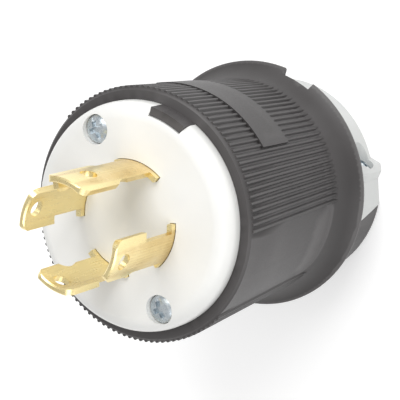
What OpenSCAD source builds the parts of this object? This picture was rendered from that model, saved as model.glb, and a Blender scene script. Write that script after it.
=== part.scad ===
// Four-wire locking power plug, in millimetres. A ribbed housing with a flared collar carries a
// moulded contact face, four hooked arc blades on their terminals, and a screw-down cord clamp.
// The plug stands on the rear end of its clamp with its blades up, so +Z is the plug's axis.
// +Y is the side with the key, the label pad and the removable half of the clamp.

/* [Housing] */
// Length from the clamp's rear end to the front ring
housing_len = 62.1; // [60:0.1:68]
// Radius of the barrel's skin at the front ring
barrel_r = 26.8; // [26.2:0.1:28]
// Radius of the barrel's skin where the flare begins
barrel_rear_r = 24.6; // [24.2:0.1:25.4]
// Thickness of the barrel's wall at its rear
barrel_wall = 3; // [2.4:0.1:3.4]
// Thickness of the wall between the wiring space and the clamp
rear_wall = 2.8; // [2:0.1:4]
// Radius of the collar's rim
collar_r = 28.5; // [27.5:0.1:31]
// Width of the land round the collar's rim
rim_w = 1; // [0.6:0.1:2]
// Length of the concave flare in front of the rim
flare_len = 7.4; // [5:0.1:9]
// Bevel round the front ring's outer edge
ring_bevel = 0.5; // [0.2:0.1:0.8]

/* [Grip ribs and panels] */
// Height of a grip rib over the skin
rib_h = 0.42; // [0.3:0.02:0.6]
// Width of a grip rib at its foot
rib_foot_w = 0.95; // [0.7:0.05:1.15]
// Width of a grip rib at its crest
rib_crest_w = 0.4; // [0.2:0.05:0.6]
// Angle from one grip rib to the next
rib_step = 3; // [3:0.5:5]
// Half angle of the smooth panel on each side
panel_half = 22.5; // [18:1.5:30]

/* [Label pad, key and notch] */
// Half angle of the label pad
pad_half = 33; // [24:1:39]
// Length of the label pad
pad_len = 11.4; // [8:0.1:14]
// Distance from the front ring back to the label pad
pad_back = 12.5; // [8:0.1:16]
// Height of the label pad over the skin
pad_h = 0.6; // [0.5:0.05:0.9]
// Length of the pits where the grooves end at the pad
pit_len = 1; // [0.6:0.1:1.6]
// Half angle of the key that holds the face from turning
key_half = 10.2; // [6:0.2:14]
// How far the key reaches in from the face's edge
key_reach = 1.8; // [1.2:0.1:2]
// Height of the key over the front ring
key_h = 4; // [2:0.1:4.4]
// Angle of the middle of the notch in the collar's rim
notch_turn = 88.9; // [80:0.1:100]
// Half angle of the notch in the collar's rim
notch_half = 7.9; // [5:0.1:12]
// Depth of the notch along the plug's axis
notch_depth = 2; // [1:0.1:2.6]

/* [Cord clamp] */
// Length of the clamp behind the collar
tail_len = 15.4; // [13:0.1:18]
// Outer radius of the fixed half of the clamp
tail_r = 25; // [24.4:0.1:26]
// Outer radius of the removable half of the clamp
clamp_r = 23.1; // [22.4:0.1:24]
// How far the removable half reaches into the collar
clamp_reach = 2.6; // [1.6:0.1:4]
// Gap between the two halves of the clamp
clamp_gap = 0.2; // [0.1:0.05:0.4]
// Radius of the cord's way through the rear wall
cord_r = 13.5; // [11:0.1:13.7]
// How far the jaws' teeth stand back from the cord's way
jaw_gap = 0.3; // [0.2:0.1:0.6]
// Height of the teeth in the jaws
tooth_h = 1; // [0.6:0.1:1.2]
// Width of a tooth at its foot
tooth_w = 2.2; // [1.4:0.1:3]
// Number of teeth in each jaw
tooth_count = 3; // [2:1:4]
// Height of the slanted joint between the halves, at the clamp's rear end
joint_rise = 5.3; // [3:0.1:7]
// Length over which the slanted joint drops to the plug's middle
joint_len = 14; // [11:0.1:15]
// Distance of each clamp screw from the plug's middle
clamp_screw_x = 18; // [17.8:0.1:18.6]
// Distance of each clamp screw from the clamp's rear end
clamp_screw_z = 5; // [4.5:0.1:8]
// Height of the ears that the clamp screws sit in
ear_top = 14.2; // [13:0.1:15]
// Height at which the ear's side turns outward
ear_waist = 10.6; // [9:0.1:12]
// Width of the ear outside the middle of its screw
ear_out = 3.5; // [3.4:0.1:4]

/* [Contact face] */
// Radius of the face
face_r = 24.3; // [24:0.1:24.5]
// How far the face stands out of the front ring
face_proud = 4.8; // [4.5:0.1:6]
// Radius of the face's rounded edge
face_edge_r = 3.5; // [2:0.1:4]
// Thickness of the face's front wall
face_wall = 4; // [3.4:0.1:5]
// Thickness of the face's skirt
skirt_t = 2; // [1.4:0.1:2.4]
// Length of the face's skirt below the front ring
skirt_len = 7.8; // [6:0.1:9]
// Width of the ledge that the skirt stands on
ledge_w = 1.1; // [0.8:0.1:1.5]
// Clearance round the face, its key and the block in it
seat_gap = 0.1; // [0.05:0.01:0.2]

/* [Blades] */
// Turn of the first blade about the plug's axis
blade_turn = 2.2; // [0:0.2:5]
// Turn of the ground blade about the plug's axis
ground_turn = 99.9; // [94:0.1:102]
// Outer radius of the line and neutral blades
blade_r = 12.05; // [11.6:0.05:12.6]
// Outer radius of the ground blade
ground_r = 12.6; // [12:0.05:13]
// Thickness of the blades
blade_t = 1.25; // [1:0.05:1.5]
// Length of the line and neutral blades in front of the face
blade_len = 20.2; // [18:0.1:23]
// Length of the ground blade in front of the face
ground_len = 24.3; // [22:0.1:26]
// Distance from the face to the heads of the blades
hook_z = 10.2; // [8:0.1:12]
// Angle from a blade's middle to its hooked edge
hook_half = 23.3; // [21:0.1:25]
// Angle from a blade's middle to its back edge
back_half = 23.1; // [21:0.1:25]
// Angle that the hook overhangs the neck
hook_cut = 9; // [6:0.1:12]
// Angle that the head overhangs the back of the neck
back_cut = 4.4; // [2:0.1:6]
// Angle by which the foot is wider than the head at the back
foot_more = 4; // [2:0.1:6]
// Height of the foot in front of the face
foot_h = 1.3; // [0.8:0.1:2]
// Radius of the round where the back of the neck runs into the head
neck_round = 4; // [3:0.1:6]
// Radius of the head's corners
tip_corner_r = 2.4; // [1.5:0.1:3]
// Bevel round the tip
tip_bevel = 0.3; // [0.2:0.05:0.5]
// Radius of the hole in the head
blade_hole_r = 1.75; // [1.2:0.05:2.1]
// Distance from the face to the middle of the hole
blade_hole_z = 16.8; // [15.8:0.1:17]
// How far the ground blade's lip reaches in
lip_reach = 1.7; // [1:0.1:2.2]
// Length of the ground blade's lip
lip_len = 8; // [5:0.1:9]

/* [Terminals] */
// Length of the terminal block
block_len = 17.4; // [16:0.1:20]
// Thickness of the terminal block's front plate
plate_t = 4.6; // [4:0.1:5]
// Thickness of the barriers between the terminals
barrier_t = 4; // [3:0.1:5]
// Radius of the block's core where it stands between the blades
core_r = 9.6; // [8.5:0.1:10]
// Radius at which the terminal tabs stand
tab_r = 17; // [16.6:0.1:17.4]
// Width of the terminal tabs
tab_w = 8; // [7.6:0.1:8.6]
// Length of the terminal tabs
tab_len = 12; // [11.4:0.1:12.4]
// Inner radius of the tab's bend
bend_r = 0.8; // [0.5:0.1:1.2]
// Gap for the wire between the tab and its clamp plate
wire_gap = 3; // [2.5:0.1:3.2]
// Thickness of the wire clamp plates
plate_clamp_t = 1.5; // [1.2:0.1:1.8]
// Length of the wire clamp plates
plate_clamp_len = 8.6; // [8:0.1:9]
// Depth of the grooves that grip the wire
grip_depth = 0.4; // [0.2:0.05:0.5]
// Radius of the terminal screws' heads
term_head_r = 3.1; // [2.8:0.1:3.4]
// Height of the terminal screws' heads
term_head_h = 2.1; // [1.6:0.1:2.4]

/* [Fasteners] */
// Radius of the screws' shanks
shank_r = 1.75; // [1.5:0.05:1.85]
// Clearance round the shanks
shank_gap = 0.2; // [0.1:0.05:0.25]
// Distance of the assembly screws from the plug's axis
assembly_r = 19.7; // [19.3:0.1:19.8]
// Radius of the assembly screws' heads
assembly_head_r = 2.95; // [2.6:0.05:3]
// Height of the assembly screws' heads
assembly_head_h = 2.1; // [1.6:0.1:2.2]
// How far the assembly screws' heads lie below the face
assembly_sink = 0.2; // [0.1:0.05:0.4]
// Length of the assembly screws under their heads
assembly_len = 26; // [24:0.5:28]
// Radius of the clamp screws' heads
clamp_head_r = 2.7; // [2.5:0.05:2.9]
// Height of the clamp screws' heads
clamp_head_h = 2; // [1.5:0.1:2.2]
// Length of the clamp screws under their heads
clamp_screw_len = 16; // [14:0.5:17]
// Clearance round the heads
head_gap = 0.2; // [0.1:0.05:0.3]
// Outer radius of the threaded inserts
insert_r = 2.35; // [2.25:0.05:2.5]
// Length of the threaded inserts
insert_len = 8; // [6:0.5:9]
// Radius of the posts that hold the assembly inserts
post_r = 3.3; // [3.1:0.1:3.6]

/* [Hidden] */
$fn = 96;

// A cut reaches this far past what it cuts
over = 1;

// Stations along the plug's axis
ring_z = housing_len;
face_z = ring_z + face_proud;
face_back_z = face_z - face_wall;
ledge_z = ring_z - skirt_len;
plate_z = face_back_z - plate_t;
block_z = face_back_z - block_len;
pocket_z = tail_len + clamp_reach;
floor_z = pocket_z + rear_wall;
rim_z = tail_len + rim_w;
flare_z = rim_z + flare_len;

// Radius of the barrel's skin, and of the wiring space, at a height
function mix(a, b, t) = a + (b - a) * t;
function skin_r(z) = mix(barrel_rear_r, barrel_r, (z - flare_z) / (ring_z - flare_z));
seat_r = face_r + seat_gap;
space_front_r = seat_r - ledge_w;
space_rear_r = barrel_rear_r - barrel_wall;
function space_r(z) = mix(space_rear_r, space_front_r, (z - floor_z) / (ledge_z - floor_z));
skirt_r = face_r - skirt_t;
block_r = min(skirt_r, space_r(block_z)) - seat_gap;

// The cove of the flare starts along the skin and ends on the rim
flare_rise = collar_r - barrel_rear_r;
cove_r = (flare_rise * flare_rise + flare_len * flare_len) / (2 * flare_rise);
barrel_tilt = atan((barrel_r - barrel_rear_r) / (ring_z - flare_z));

// Ribs stand at every step between the smooth panels, on both sides
rib_count = floor((180 - 2 * panel_half) / rib_step);
rib_first = 90 - rib_count * rib_step / 2;
rib_turns = [for (side = [0, 180], i = [0 : rib_count]) side + rib_first + i * rib_step];
pad_z = ring_z - pad_back - pad_len;

// Clamp
tooth_r = cord_r + jaw_gap;
jaw_r = tooth_r + tooth_h;
function joint_y(z) = joint_rise * max(0, 1 - z / joint_len);
joint_x = sqrt(tail_r * tail_r - joint_rise * joint_rise);
ear_x = clamp_screw_x + ear_out;
ear_bevel = 0.6;
tail_bevel = 0.6;
clamp_round = 1.2;
clamp_seat_y = ear_top - clamp_head_h - head_gap;
clamp_insert_y = joint_y(clamp_screw_z) - over;

// Blades and terminals
line_y_turn = blade_turn + 180;
neutral_turn = blade_turn + 270;
poles = [
    [blade_turn, blade_r], [line_y_turn, blade_r], [neutral_turn, blade_r], [ground_turn, ground_r]
];
slot_play = 0.6;
tab_z = plate_z - tab_len;
clamp_plate_r = tab_r - wire_gap;
backing_r = clamp_plate_r - plate_clamp_t - seat_gap;
term_z = plate_z - blade_t - tab_len / 2 + bend_r;
term_len = wire_gap + blade_t + plate_clamp_t + over;
assembly_turns = [blade_turn + 135, blade_turn + 315];
assembly_seat_z = face_z - assembly_sink - assembly_head_h;
tip_space = 2;

// A part of a ring between two turns and two heights
module ring_sector(r1, r2, turn1, turn2, z1, z2) {
    rotate([0, 0, turn1])
        rotate_extrude(angle = turn2 - turn1)
            translate([r1, z1])
                square([r2 - r1, z2 - z1]);
}

// A rod along a radius, from r1 out to r2
module radial_rod(r, r1, r2, turn, z) {
    rotate([0, 0, turn])
        translate([r1, 0, z])
            rotate([0, 90, 0])
                cylinder(r = r, h = r2 - r1);
}

// The space above or below the slanted joint between the clamp's halves, moved up by a shift
module joint_space(side, shift) {
    far = side * 2 * collar_r;
    rotate([90, 0, 90])
        linear_extrude(4 * collar_r, center = true)
            polygon([
                [joint_y(-over) + shift, -over],
                [shift, joint_len],
                [shift, floor_z],
                [far, floor_z],
                [far, -over]
            ]);
}

// One screw: its head stands on the XY plane and its shank hangs below
module screw(head_r, head_h, len) {
    dome_r = head_r * 1.6;
    slot_w = head_r * 0.3;
    difference() {
        union() {
            rotate_extrude()
                intersection() {
                    square([head_r, head_h]);
                    translate([0, head_h - dome_r])
                        circle(r = dome_r);
                }
            translate([0, 0, -len])
                cylinder(r = shank_r, h = len + head_h / 2);
        }
        translate([-head_r, -slot_w / 2, head_h * 0.6])
            cube([2 * head_r, slot_w, head_h]);
        for (turn = [0, 90])
            rotate([0, 0, turn])
                translate([-head_r * 0.6, -slot_w * 0.65, head_h * 0.4])
                    cube([head_r * 1.2, slot_w * 1.3, head_h]);
    }
}

// One threaded insert, with a waist round its middle, standing on the XY plane
module insert() {
    waist = insert_len / 4;
    difference() {
        cylinder(r = insert_r, h = insert_len);
        translate([0, 0, -over])
            cylinder(r = shank_r, h = insert_len + 2 * over);
        translate([0, 0, (insert_len - waist) / 2])
            difference() {
                cylinder(r = insert_r + over, h = waist);
                cylinder(r = insert_r - 0.25, h = waist);
            }
    }
}

// ---------- Housing ----------

// The barrel, flare and collar as a solid of revolution
module housing_form() {
    rotate_extrude() {
        polygon([
            [0, flare_z], [barrel_rear_r, flare_z], [barrel_r, ring_z - ring_bevel],
            [barrel_r - ring_bevel, ring_z], [0, ring_z]
        ]);
        difference() {
            translate([0, rim_z])
                square([collar_r, flare_len]);
            translate([barrel_rear_r + cove_r, flare_z])
                circle(r = cove_r);
        }
        polygon([
            [0, tail_len], [collar_r - rim_w / 2, tail_len], [collar_r, tail_len + rim_w / 2],
            [collar_r, rim_z], [0, rim_z]
        ]);
    }
}

// One rib, sunk into the skin and leaning with the barrel's taper
module rib(turn) {
    root = 0.3;
    start_z = mix(rim_z, flare_z, 0.6);
    rotate([0, 0, turn])
        translate([skin_r(start_z), 0, start_z])
            rotate([0, barrel_tilt, 0])
                linear_extrude((ring_z - ring_bevel - start_z) / cos(barrel_tilt))
                    polygon([
                        [-root, -rib_foot_w / 2], [0, -rib_foot_w / 2], [rib_h, -rib_crest_w / 2],
                        [rib_h, rib_crest_w / 2], [0, rib_foot_w / 2], [-root, rib_foot_w / 2]
                    ]);
}

// The smooth raised pad for a label
module label_pad() {
    z2 = pad_z + pad_len;
    rotate([0, 0, 90 - pad_half])
        rotate_extrude(angle = 2 * pad_half)
            polygon([
                [skin_r(pad_z) - over, pad_z], [skin_r(pad_z) + pad_h, pad_z],
                [skin_r(z2) + pad_h, z2], [skin_r(z2) - over, z2]
            ]);
}

// The grooves between the ribs end at the pad in short pits
module pad_pits() {
    w = 0.6 * (skin_r(pad_z) * rib_step * PI / 180 - rib_crest_w);
    for (turn = rib_turns)
        if (abs(turn + rib_step / 2 - 90) < pad_half)
            rotate([0, 0, turn + rib_step / 2])
                translate([skin_r(pad_z) - rib_h, -w / 2, pad_z - 0.7 * pit_len])
                    cube([3 * rib_h, w, pit_len]);
}

// The key stands on the ledge, inside the ring, and rises past it beside the face
module key() {
    key_r = face_r - key_reach;
    ring_sector(key_r, face_r, 90 - key_half, 90 + key_half, ledge_z - over, ring_z + key_h);
    ring_sector(key_r, seat_r + over, 90 - key_half, 90 + key_half, ledge_z - over, ring_z);
}

// The space for the face and the wiring
module housing_space() {
    rotate_extrude()
        polygon([
            [0, floor_z], [space_rear_r, floor_z], [space_front_r, ledge_z],
            [seat_r, ledge_z], [seat_r, ring_z + over], [0, ring_z + over]
        ]);
}

// The fixed half of the clamp, as a tube with teeth
module tail_tube() {
    rotate_extrude()
        polygon([
            [jaw_r, 0], [tail_r - tail_bevel, 0], [tail_r, tail_bevel],
            [tail_r, pocket_z], [jaw_r, pocket_z]
        ]);
    jaw_teeth();
}

// Ridges that bite into the cord
module jaw_teeth() {
    pitch = tail_len / tooth_count;
    rotate_extrude()
        for (i = [0 : tooth_count - 1])
            translate([0, (i + 0.5) * pitch])
                polygon([
                    [jaw_r + over, -tooth_w / 2], [jaw_r, -tooth_w / 2], [tooth_r, 0],
                    [jaw_r, tooth_w / 2], [jaw_r + over, tooth_w / 2]
                ]);
}

module housing() {
    color("#3d3a3c")
        difference() {
            union() {
                difference() {
                    union() {
                        housing_form();
                        for (turn = rib_turns)
                            rib(turn);
                        label_pad();
                    }
                    housing_space();
                    translate([0, 0, tail_len - over])
                        cylinder(r = jaw_r, h = clamp_reach + over);
                    pad_pits();
                }
                key();
                for (turn = assembly_turns)
                    rotate([0, 0, turn])
                        translate([assembly_r, 0, floor_z - over])
                            cylinder(r = post_r, h = block_z - floor_z + over);
                intersection() {
                    tail_tube();
                    joint_space(-1, 0);
                }
            }
            // The cord's way through the rear wall
            translate([0, 0, pocket_z - over])
                cylinder(r = cord_r, h = rear_wall + 2 * over);
            // The seat of the removable half in the collar
            intersection() {
                translate([0, 0, tail_len - over])
                    cylinder(r = clamp_r + clamp_gap, h = clamp_reach + over);
                joint_space(1, 0);
            }
            // The notch in the collar's rim
            ring_sector(
                clamp_r, collar_r + over, notch_turn - notch_half, notch_turn + notch_half,
                tail_len - over, tail_len + notch_depth
            );
            for (turn = assembly_turns)
                rotate([0, 0, turn])
                    translate([assembly_r, 0, block_z - insert_len]) {
                        cylinder(r = insert_r, h = insert_len + over);
                        translate([0, 0, -tip_space])
                            cylinder(r = shank_r + shank_gap, h = tip_space + over);
                    }
            for (side = [-1, 1])
                translate([side * clamp_screw_x, clamp_insert_y, clamp_screw_z])
                    rotate([90, 0, 0]) {
                        translate([0, 0, -2 * over])
                            cylinder(r = insert_r, h = insert_len + 2 * over);
                        cylinder(r = shank_r + shank_gap, h = insert_len + tip_space);
                    }
        }
}

// ---------- Contact face ----------

module face() {
    key_r = face_r - key_reach - seat_gap;
    key_play = atan(seat_gap / face_r);
    color("#e8e8e6")
        difference() {
            rotate_extrude()
                difference() {
                    union() {
                        translate([0, ledge_z])
                            square([face_r, face_z - face_edge_r - ledge_z]);
                        translate([0, ledge_z])
                            square([face_r - face_edge_r, face_z - ledge_z]);
                        translate([face_r - face_edge_r, face_z - face_edge_r])
                            circle(r = face_edge_r);
                    }
                    translate([-over, ledge_z - over])
                        square([skirt_r + over, face_back_z - ledge_z + over]);
                }
            ring_sector(
                key_r, face_r + over, 90 - key_half - key_play, 90 + key_half + key_play,
                ledge_z - over, face_z + over
            );
            blade_slots(face_back_z - over, face_z + over);
            for (turn = assembly_turns)
                rotate([0, 0, turn])
                    translate([assembly_r, 0, assembly_seat_z]) {
                        cylinder(r = assembly_head_r + head_gap, h = assembly_head_h + over);
                        translate([0, 0, -face_wall])
                            cylinder(r = shank_r + shank_gap, h = face_wall + over);
                    }
        }
}

// One slot for each blade, a little larger than the blade's foot
module blade_slots(z1, z2) {
    for (pole = poles)
        ring_sector(
            pole[1] - blade_t - seat_gap, pole[1] + seat_gap,
            pole[0] - back_half - foot_more - slot_play, pole[0] + hook_half + slot_play,
            z1, z2
        );
}

// ---------- Terminal block ----------

module terminal_block() {
    backing_top = plate_z - blade_t - 0.3;
    color("#d9d8d2")
        difference() {
            union() {
                translate([0, 0, plate_z])
                    cylinder(r = block_r, h = plate_t);
                translate([0, 0, block_z])
                    cylinder(r = core_r, h = plate_z - block_z + over);
                translate([0, 0, block_z])
                    cylinder(r = backing_r, h = backing_top - block_z);
                intersection() {
                    translate([0, 0, block_z])
                        cylinder(r = block_r, h = block_len);
                    union() {
                        for (i = [0 : 3])
                            rotate([0, 0, blade_turn + 45 + 90 * i])
                                translate([0, -barrier_t / 2, block_z])
                                    cube([block_r + over, barrier_t, plate_z - block_z + over]);
                        for (turn = assembly_turns)
                            rotate([0, 0, turn])
                                translate([assembly_r, 0, block_z])
                                    cylinder(r = post_r, h = plate_z - block_z + over);
                    }
                }
            }
            blade_slots(plate_z - 2 * over, face_back_z + over);
            for (turn = assembly_turns)
                rotate([0, 0, turn])
                    translate([assembly_r, 0, block_z - over])
                        cylinder(r = shank_r + shank_gap, h = block_len + 2 * over);
            for (pole = poles)
                radial_rod(
                    shank_r + shank_gap, clamp_plate_r - term_len + blade_t, backing_r + over,
                    pole[0], term_z
                );
        }
}

// ---------- Blades ----------

// The foot, neck and head of one blade, as an arc of sheet that hooks at its tip
module blade_arc(r, len) {
    r_in = r - blade_t;
    tip_z = face_z + len;
    head_z = face_z + hook_z;
    foot_z = face_z + foot_h;
    mm_turn = 180 / (PI * r);
    back_end = -back_half - foot_more;
    difference() {
        rotate([0, 0, back_end])
            rotate_extrude(angle = hook_half - back_end)
                polygon([
                    [r_in, plate_z - blade_t], [r, plate_z - blade_t],
                    [r, tip_z - tip_bevel], [r - tip_bevel, tip_z],
                    [r_in + tip_bevel, tip_z], [r_in, tip_z - tip_bevel]
                ]);
        // Hook
        ring_sector(r_in - over, r + over, hook_half - hook_cut, hook_half + over, foot_z, head_z);
        // Back of the neck, and the round that leads into the head
        ring_sector(r_in - over, r + over, back_end - over, -back_half + back_cut, foot_z, head_z);
        radial_rod(
            neck_round, r_in - over, r + over,
            -back_half + back_cut - neck_round * mm_turn, head_z
        );
        // Back edge of the head
        ring_sector(r_in - over, r + over, back_end - over, -back_half, head_z, tip_z + over);
        tip_corner(r, hook_half - tip_corner_r * mm_turn, 1, tip_z);
        tip_corner(r, -back_half + tip_corner_r * mm_turn, -1, tip_z);
        radial_rod(blade_hole_r, r_in - over, r + over, 0, face_z + blade_hole_z);
    }
}

// What is cut off to round one corner of a tip
module tip_corner(r, turn, side, tip_z) {
    difference() {
        rotate([0, 0, turn])
            translate([r - blade_t - over, min(0, side * 2 * tip_corner_r), tip_z - tip_corner_r])
                cube([blade_t + 2 * over, 2 * tip_corner_r, tip_corner_r + over]);
        radial_rod(
            tip_corner_r, r - blade_t - 2 * over, r + 2 * over, turn, tip_z - tip_corner_r
        );
    }
}

// The foot turns outward under the block's front plate and down into the terminal tab
module terminal_tab(r) {
    out = tab_r + blade_t;
    bend_out = bend_r + blade_t;
    start = sqrt(r * r - tab_w * tab_w / 4) - blade_t / 4;
    difference() {
        rotate([90, 0, 0])
            linear_extrude(tab_w, center = true)
                difference() {
                    translate([start, tab_z])
                        square([out - start, tab_len]);
                    difference() {
                        translate([start - over, tab_z - over])
                            square([tab_r - start + over, tab_len - blade_t + over]);
                        translate([tab_r - bend_r, plate_z - bend_out])
                            difference() {
                                square(bend_r + over);
                                circle(r = bend_r);
                            }
                    }
                    translate([out - bend_out, plate_z - bend_out])
                        difference() {
                            square(bend_out + over);
                            circle(r = bend_out);
                        }
                }
        radial_rod(shank_r + shank_gap, tab_r - over, out + over, 0, term_z);
    }
}

module blade(turn, r, len) {
    rotate([0, 0, turn]) {
        blade_arc(r, len);
        terminal_tab(r);
    }
}

module ground_blade() {
    tip_z = face_z + ground_len - tip_corner_r;
    color("#c8a860")
        union() {
            blade(ground_turn, ground_r, ground_len);
            // The lip turned inward at the hooked edge
            rotate([0, 0, ground_turn + hook_half])
                translate([ground_r - blade_t - lip_reach, -blade_t, tip_z - lip_len])
                    cube([lip_reach + blade_t / 2, blade_t, lip_len]);
        }
}

module line_x_blade() {
    color("#c8a860")
        blade(blade_turn, blade_r, blade_len);
}

module line_y_blade() {
    color("#c8a860")
        blade(line_y_turn, blade_r, blade_len);
}

module neutral_blade() {
    color("#c8a860")
        blade(neutral_turn, blade_r, blade_len);
}

// ---------- Terminals ----------

// The threaded plate that the screw draws outward to grip the wire
module wire_clamp(turn) {
    groove_w = 2 * grip_depth;
    rotate([0, 0, turn])
        translate([clamp_plate_r - plate_clamp_t, 0, term_z])
            difference() {
                translate([0, -tab_w / 2, -plate_clamp_len / 2])
                    cube([plate_clamp_t, tab_w, plate_clamp_len]);
                translate([-over, 0, 0])
                    rotate([0, 90, 0])
                        cylinder(r = shank_r, h = plate_clamp_t + 2 * over);
                for (side = [-1, 1])
                    for (step = [0.3, 0.4])
                        translate([plate_clamp_t, -tab_w / 2 - over, side * step * plate_clamp_len])
                            rotate([0, 45, 0])
                                translate([-groove_w / 2, 0, -groove_w / 2])
                                    cube([groove_w, tab_w + 2 * over, groove_w]);
            }
}

// The screw's head bears on the outside of the tab
module terminal_screw(turn) {
    rotate([0, 0, turn])
        translate([tab_r + blade_t, 0, term_z])
            rotate([0, 90, 0])
                screw(term_head_r, term_head_h, term_len);
}

module ground_wire_clamp() {
    color("#c2c4c6")
        wire_clamp(ground_turn);
}

module line_x_wire_clamp() {
    color("#c2c4c6")
        wire_clamp(blade_turn);
}

module line_y_wire_clamp() {
    color("#c2c4c6")
        wire_clamp(line_y_turn);
}

module neutral_wire_clamp() {
    color("#c2c4c6")
        wire_clamp(neutral_turn);
}

module ground_terminal_screw() {
    color("#3f8f52")
        terminal_screw(ground_turn);
}

module line_x_terminal_screw() {
    color("#c9a44c")
        terminal_screw(blade_turn);
}

module line_y_terminal_screw() {
    color("#c9a44c")
        terminal_screw(line_y_turn);
}

module neutral_terminal_screw() {
    color("#c8ccd0")
        terminal_screw(neutral_turn);
}

// ---------- Assembly fasteners ----------

module assembly_screws() {
    color("#b4bec4")
        for (turn = assembly_turns)
            rotate([0, 0, turn])
                translate([assembly_r, 0, assembly_seat_z])
                    screw(assembly_head_r, assembly_head_h, assembly_len);
}

module assembly_inserts() {
    color("#c8a44e")
        for (turn = assembly_turns)
            rotate([0, 0, turn])
                translate([assembly_r, 0, block_z - insert_len])
                    insert();
}

// ---------- Cord clamp ----------

// One ear, with the side that leans out to meet the fixed half
module ear_form() {
    intersection() {
        circle(r = tail_r);
        difference() {
            polygon([
                [clamp_screw_x - ear_out, 0], [clamp_screw_x - ear_out, ear_top],
                [ear_x - ear_bevel, ear_top], [ear_x, ear_top - ear_bevel], [ear_x, ear_waist],
                [joint_x, joint_rise], [tail_r + over, joint_rise], [tail_r + over, 0]
            ]);
            circle(r = jaw_r);
        }
    }
}

module cord_clamp() {
    color("#cfd2d2")
        difference() {
            intersection() {
                union() {
                    rotate_extrude() {
                        difference() {
                            translate([jaw_r, 0])
                                square([clamp_r - jaw_r, pocket_z - clamp_gap]);
                            translate([clamp_r - clamp_round, -over])
                                square([clamp_round + over, clamp_round + over]);
                        }
                        translate([clamp_r - clamp_round, clamp_round])
                            circle(r = clamp_round);
                    }
                    for (side = [0, 1])
                        mirror([side, 0, 0])
                            linear_extrude(tail_len - clamp_gap)
                                ear_form();
                    jaw_teeth();
                }
                joint_space(1, clamp_gap);
            }
            for (side = [-1, 1])
                translate([side * clamp_screw_x, clamp_seat_y, clamp_screw_z])
                    rotate([-90, 0, 0]) {
                        cylinder(r = clamp_head_r + head_gap, h = collar_r);
                        translate([0, 0, -collar_r])
                            cylinder(r = shank_r + shank_gap, h = collar_r + over);
                    }
        }
}

module cord_clamp_screws() {
    color("#b4bec4")
        for (side = [-1, 1])
            translate([side * clamp_screw_x, clamp_seat_y, clamp_screw_z])
                rotate([-90, 0, 0])
                    screw(clamp_head_r, clamp_head_h, clamp_screw_len);
}

module cord_clamp_inserts() {
    color("#c8a44e")
        for (side = [-1, 1])
            translate([side * clamp_screw_x, clamp_insert_y, clamp_screw_z])
                rotate([90, 0, 0])
                    insert();
}

housing();
face();
terminal_block();
ground_blade();
line_x_blade();
line_y_blade();
neutral_blade();
ground_wire_clamp();
line_x_wire_clamp();
line_y_wire_clamp();
neutral_wire_clamp();
ground_terminal_screw();
line_x_terminal_screw();
line_y_terminal_screw();
neutral_terminal_screw();
assembly_screws();
assembly_inserts();
cord_clamp();
cord_clamp_screws();
cord_clamp_inserts();
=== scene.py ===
"""The locking power plug in a plain studio: camera, materials, floor and lamps round the frame."""

import bmesh
import bpy
from mathutils import Matrix, Vector

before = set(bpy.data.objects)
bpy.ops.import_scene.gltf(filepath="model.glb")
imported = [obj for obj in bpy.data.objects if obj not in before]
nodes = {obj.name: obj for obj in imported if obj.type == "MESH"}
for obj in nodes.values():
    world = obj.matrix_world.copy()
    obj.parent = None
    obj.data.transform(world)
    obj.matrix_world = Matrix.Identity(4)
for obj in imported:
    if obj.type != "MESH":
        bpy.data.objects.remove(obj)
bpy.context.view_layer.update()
scene = bpy.context.scene

# ---------------------------------------------------------------- driving values, in metres and watts
CAM_POS = Vector((0.14414, 0.13279, 0.32690))
CAM_RIGHT = Vector((0.76995, 0.33769, -0.54142))
CAM_UP = Vector((-0.48595, 0.86021, -0.15453))
SENSOR_MM = 36
LENS_MM = 142.5
CLIP_NEAR = 0.01
CLIP_FAR = 20

FLOOR_HALF = 3.0
FLOOR_DROP = 0.0001
FLOOR_COLOR = (0.86, 0.86, 0.86, 1)
FLOOR_ROUGH = 0.9
# What the floor adds to its own colour where the camera or a shiny surface sees it
FLOOR_GLOW = 0.30
# Strength of the world as a light, and as the camera sees it, where 1 is white
WORLD_LIGHT = 0.62
WORLD_SEEN = 1.0

LAMP_AIM = (0, 0, 0.045)
KEY_POS, KEY_SIZE, KEY_WATTS = (-0.10, 0.75, 0.75), (0.7, 0.7), 7.0
FILL_POS, FILL_SIZE, FILL_WATTS = (0.70, -0.10, 0.55), (0.6, 0.6), 2.2

# Noise scales, per metre, of the slow drift of tone over plastic and metal
PLASTIC_DRIFT = 55
METAL_DRIFT = 140
# Height of the drawn lines on metal
METAL_LINE_H = 0.00002


# ---------------------------------------------------------------- camera and view
def add_camera():
    data = bpy.data.cameras.new("studio_camera")
    cam = bpy.data.objects.new("studio_camera", data)
    scene.collection.objects.link(cam)
    right = CAM_RIGHT.normalized()
    up = (CAM_UP - right * CAM_UP.dot(right)).normalized()
    back = right.cross(up).normalized()
    cam.matrix_world = Matrix((
        (right.x, up.x, back.x, CAM_POS.x),
        (right.y, up.y, back.y, CAM_POS.y),
        (right.z, up.z, back.z, CAM_POS.z),
        (0, 0, 0, 1),
    ))
    data.sensor_width = SENSOR_MM
    data.lens = LENS_MM
    data.clip_start = CLIP_NEAR
    data.clip_end = CLIP_FAR
    scene.camera = cam


add_camera()
scene.view_settings.view_transform = "Standard"


# ---------------------------------------------------------------- node helpers
def new_material(name):
    """A material with one Principled shader: returns the material, its tree and the shader."""
    material = bpy.data.materials.new(name)
    material.use_nodes = True
    tree = material.node_tree
    tree.nodes.clear()
    out = tree.nodes.new("ShaderNodeOutputMaterial")
    shader = tree.nodes.new("ShaderNodeBsdfPrincipled")
    tree.links.new(shader.outputs[0], out.inputs[0])
    return material, tree, shader


def node(tree, kind, **values):
    """A node with the sockets or settings of these names set."""
    n = tree.nodes.new(kind)
    for key, value in values.items():
        if key in n.inputs:
            n.inputs[key].default_value = value
        else:
            setattr(n, key, value)
    return n


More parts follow.
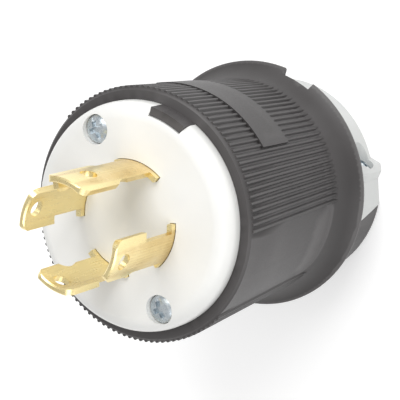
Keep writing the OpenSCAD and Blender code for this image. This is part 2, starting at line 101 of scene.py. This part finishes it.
def coords(tree, scale=(1, 1, 1)):
    """Object coordinates, stretched by a scale."""
    source = tree.nodes.new("ShaderNodeTexCoord")
    mapping = tree.nodes.new("ShaderNodeMapping")
    mapping.inputs["Scale"].default_value = scale
    tree.links.new(source.outputs["Object"], mapping.inputs["Vector"])
    return mapping.outputs[0]


def noise(tree, vector, scale, detail, rough):
    n = node(tree, "ShaderNodeTexNoise", Scale=scale, Detail=detail, Roughness=rough)
    tree.links.new(vector, n.inputs["Vector"])
    return n.outputs["Fac"]


def ramp(tree, fac, stops):
    """A colour ramp through stops of (position, colour)."""
    n = tree.nodes.new("ShaderNodeValToRGB")
    tree.links.new(fac, n.inputs[0])
    elements = n.color_ramp.elements
    while len(elements) < len(stops):
        elements.new(0.5)
    for element, (position, color) in zip(elements, stops):
        element.position = position
        element.color = tuple(color) + (1,)
    return n.outputs[0]


def remap(tree, fac, low, high, from_low=0.0, from_high=1.0):
    n = node(tree, "ShaderNodeMapRange")
    tree.links.new(fac, n.inputs["Value"])
    n.inputs["From Min"].default_value = from_low
    n.inputs["From Max"].default_value = from_high
    n.inputs["To Min"].default_value = low
    n.inputs["To Max"].default_value = high
    return n.outputs[0]


def mix_color(tree, fac, first, second):
    """Two colours, each a tuple or a socket, mixed by a socket."""
    n = tree.nodes.new("ShaderNodeMix")
    n.data_type = "RGBA"
    tree.links.new(fac, n.inputs[0])
    for socket, value in ((n.inputs[6], first), (n.inputs[7], second)):
        if isinstance(value, tuple):
            socket.default_value = value + (1,)
        else:
            tree.links.new(value, socket)
    return n.outputs[2]


def highlight_edge_mask(tree, low, high):
    """1 on sharp outer edges and 0 on flats: the mask for a painted highlight on edges."""
    geometry = tree.nodes.new("ShaderNodeNewGeometry")
    return remap(tree, geometry.outputs["Pointiness"], 0.0, 1.0, low, high)


def bump(tree, shader, height, strength, distance):
    n = node(tree, "ShaderNodeBump", Strength=strength, Distance=distance)
    tree.links.new(height, n.inputs["Height"])
    tree.links.new(n.outputs[0], shader.inputs["Normal"])


# ---------------------------------------------------------------- materials
def plastic(name, base, light, dark, rough, grain_size, grain_h, edge_highlight=None, spec=0.5):
    """Moulded plastic: slow tone drift, fine eroded grain and, with an edge highlight colour, a painted
    highlight on sharp edges.
    """
    material, tree, shader = new_material(name)
    vector = coords(tree)
    slow = noise(tree, vector, PLASTIC_DRIFT, 3, 0.5)
    fine = noise(tree, vector, 1 / grain_size, 5, 0.6)
    tone = ramp(tree, slow, [(0.30, dark), (0.52, base), (0.74, light)])
    color = mix_color(tree, remap(tree, fine, 0.0, 0.10, 0.35, 0.80), tone, light)
    # With an edge highlight colour, sharp outer edges are mixed towards it: a painted highlight
    if edge_highlight:
        color = mix_color(tree, highlight_edge_mask(tree, 0.53, 0.62), color, edge_highlight)
    tree.links.new(color, shader.inputs["Base Color"])
    gloss = remap(tree, fine, rough - 0.05, rough + 0.06, 0.3, 0.7)
    tree.links.new(gloss, shader.inputs["Roughness"])
    shader.inputs["Specular IOR Level"].default_value = spec
    bump(tree, shader, fine, 0.35, grain_h)
    return material


def metal(name, base, light, dark, rough, edge_highlight, stretch=(1, 1, 1), grain_size=0.0004):
    """Metal with fine drawn lines along the stretch, faint tarnish and a painted highlight on sharp
    edges.
    """
    material, tree, shader = new_material(name)
    slow = noise(tree, coords(tree), METAL_DRIFT, 4, 0.6)
    lines = noise(tree, coords(tree, stretch), 1 / grain_size, 3, 0.6)
    tone = ramp(tree, slow, [(0.30, dark), (0.50, base), (0.72, light)])
    tone = mix_color(tree, remap(tree, lines, 0.0, 0.35, 0.45, 0.75), tone, light)
    # Sharp outer edges are mixed towards a brighter colour: a painted highlight
    tone = mix_color(tree, highlight_edge_mask(tree, 0.52, 0.60), tone, edge_highlight)
    tree.links.new(tone, shader.inputs["Base Color"])
    shader.inputs["Metallic"].default_value = 1.0
    gloss = remap(tree, lines, rough - 0.06, rough + 0.08, 0.3, 0.7)
    tree.links.new(gloss, shader.inputs["Roughness"])
    bump(tree, shader, lines, 0.25, METAL_LINE_H)
    return material


mats = {
    "housing": plastic(
        "housing_nylon", (0.044, 0.040, 0.040), (0.062, 0.058, 0.058), (0.034, 0.031, 0.031),
        # the last colour is a painted highlight on the housing's sharp edges
        0.46, 0.00030, 0.00005, edge_highlight=(0.085, 0.080, 0.080)),
    "face": plastic(
        "face_nylon", (0.80, 0.80, 0.78), (0.84, 0.84, 0.82), (0.76, 0.76, 0.74),
        0.36, 0.00045, 0.00002, spec=0.45),
    "block": plastic(
        "block_plastic", (0.74, 0.73, 0.68), (0.80, 0.79, 0.74), (0.66, 0.65, 0.60),
        0.50, 0.00040, 0.00003, spec=0.4),
    "clamp": plastic(
        "clamp_nylon", (0.60, 0.61, 0.60), (0.66, 0.67, 0.66), (0.54, 0.55, 0.54),
        0.42, 0.00035, 0.00003, spec=0.45),
    # each metal's fifth value is the colour of a painted highlight on its sharp edges
    "brass": metal(
        "blade_brass", (0.80, 0.62, 0.30), (0.90, 0.74, 0.42), (0.66, 0.49, 0.21),
        0.30, (0.95, 0.80, 0.42), stretch=(1, 1, 0.05), grain_size=0.00025),
    "plate": metal(
        "clamp_plate_steel", (0.60, 0.61, 0.62), (0.72, 0.73, 0.74), (0.46, 0.47, 0.48),
        0.34, (0.80, 0.81, 0.82), stretch=(1, 1, 0.06), grain_size=0.00025),
    "green": metal(
        "green_screw", (0.07, 0.30, 0.13), (0.14, 0.42, 0.20), (0.03, 0.18, 0.07),
        0.32, (0.45, 0.55, 0.40)),
    "brass_screw": metal(
        "brass_screw", (0.74, 0.54, 0.24), (0.86, 0.68, 0.36), (0.56, 0.38, 0.15),
        0.30, (0.92, 0.76, 0.42)),
    "silver": metal(
        "silver_screw", (0.66, 0.67, 0.68), (0.78, 0.79, 0.80), (0.50, 0.51, 0.52),
        0.28, (0.86, 0.86, 0.86)),
    "zinc": metal(
        "zinc_screw", (0.56, 0.62, 0.66), (0.72, 0.77, 0.80), (0.36, 0.41, 0.45),
        0.30, (0.85, 0.88, 0.90)),
    "insert": metal(
        "insert_brass", (0.70, 0.52, 0.24), (0.82, 0.65, 0.36), (0.50, 0.34, 0.14),
        0.34, (0.90, 0.74, 0.42)),
}

looks = {
    "housing": "housing", "face": "face", "terminal_block": "block",
    "ground_blade": "brass", "line_x_blade": "brass", "line_y_blade": "brass", "neutral_blade": "brass",
    "ground_wire_clamp": "plate", "line_x_wire_clamp": "plate",
    "line_y_wire_clamp": "plate", "neutral_wire_clamp": "plate",
    "ground_terminal_screw": "green", "line_x_terminal_screw": "brass_screw",
    "line_y_terminal_screw": "brass_screw", "neutral_terminal_screw": "silver",
    "assembly_screws": "zinc", "assembly_inserts": "insert",
    "cord_clamp": "clamp", "cord_clamp_screws": "zinc", "cord_clamp_inserts": "insert",
}
for name, look in looks.items():
    for slot in nodes[name].material_slots:
        slot.material = mats[look]


# ---------------------------------------------------------------- floor, world and lamps
def floor_material():
    """Pale paper that keeps the shadow, and is white where the camera or a shiny surface sees it."""
    material, tree, shader = new_material("floor_paper")
    shader.inputs["Base Color"].default_value = FLOOR_COLOR
    shader.inputs["Roughness"].default_value = FLOOR_ROUGH
    path = tree.nodes.new("ShaderNodeLightPath")
    seen = node(tree, "ShaderNodeMath", operation="MAXIMUM")
    tree.links.new(path.outputs["Is Camera Ray"], seen.inputs[0])
    tree.links.new(path.outputs["Is Glossy Ray"], seen.inputs[1])
    glow = node(tree, "ShaderNodeEmission")
    tree.links.new(remap(tree, seen.outputs[0], 0.0, FLOOR_GLOW), glow.inputs["Strength"])
    both = tree.nodes.new("ShaderNodeAddShader")
    tree.links.new(shader.outputs[0], both.inputs[0])
    tree.links.new(glow.outputs[0], both.inputs[1])
    tree.links.new(both.outputs[0], tree.nodes["Material Output"].inputs[0])
    return material


def add_floor():
    bm = bmesh.new()
    bmesh.ops.create_grid(bm, x_segments=1, y_segments=1, size=FLOOR_HALF)
    mesh = bpy.data.meshes.new("floor")
    bm.to_mesh(mesh)
    bm.free()
    floor = bpy.data.objects.new("floor", mesh)
    floor.location = (0, 0, -FLOOR_DROP)
    scene.collection.objects.link(floor)
    mesh.materials.append(floor_material())


def add_world():
    world = bpy.data.worlds.new("studio")
    scene.world = world
    world.use_nodes = True
    tree = world.node_tree
    tree.nodes.clear()
    out = tree.nodes.new("ShaderNodeOutputWorld")
    background = node(tree, "ShaderNodeBackground", Color=(1, 1, 1, 1))
    path = tree.nodes.new("ShaderNodeLightPath")
    strength = remap(tree, path.outputs["Is Camera Ray"], WORLD_LIGHT, WORLD_SEEN)
    tree.links.new(strength, background.inputs["Strength"])
    tree.links.new(background.outputs[0], out.inputs[0])


def add_lamp(name, position, size, watts):
    data = bpy.data.lights.new(name, "AREA")
    data.shape = "RECTANGLE"
    data.size, data.size_y = size
    data.energy = watts
    lamp = bpy.data.objects.new(name, data)
    lamp.location = position
    lamp.rotation_euler = (Vector(LAMP_AIM) - Vector(position)).to_track_quat("-Z", "Y").to_euler()
    scene.collection.objects.link(lamp)


add_floor()
add_world()
add_lamp("key", KEY_POS, KEY_SIZE, KEY_WATTS)
add_lamp("fill", FILL_POS, FILL_SIZE, FILL_WATTS)
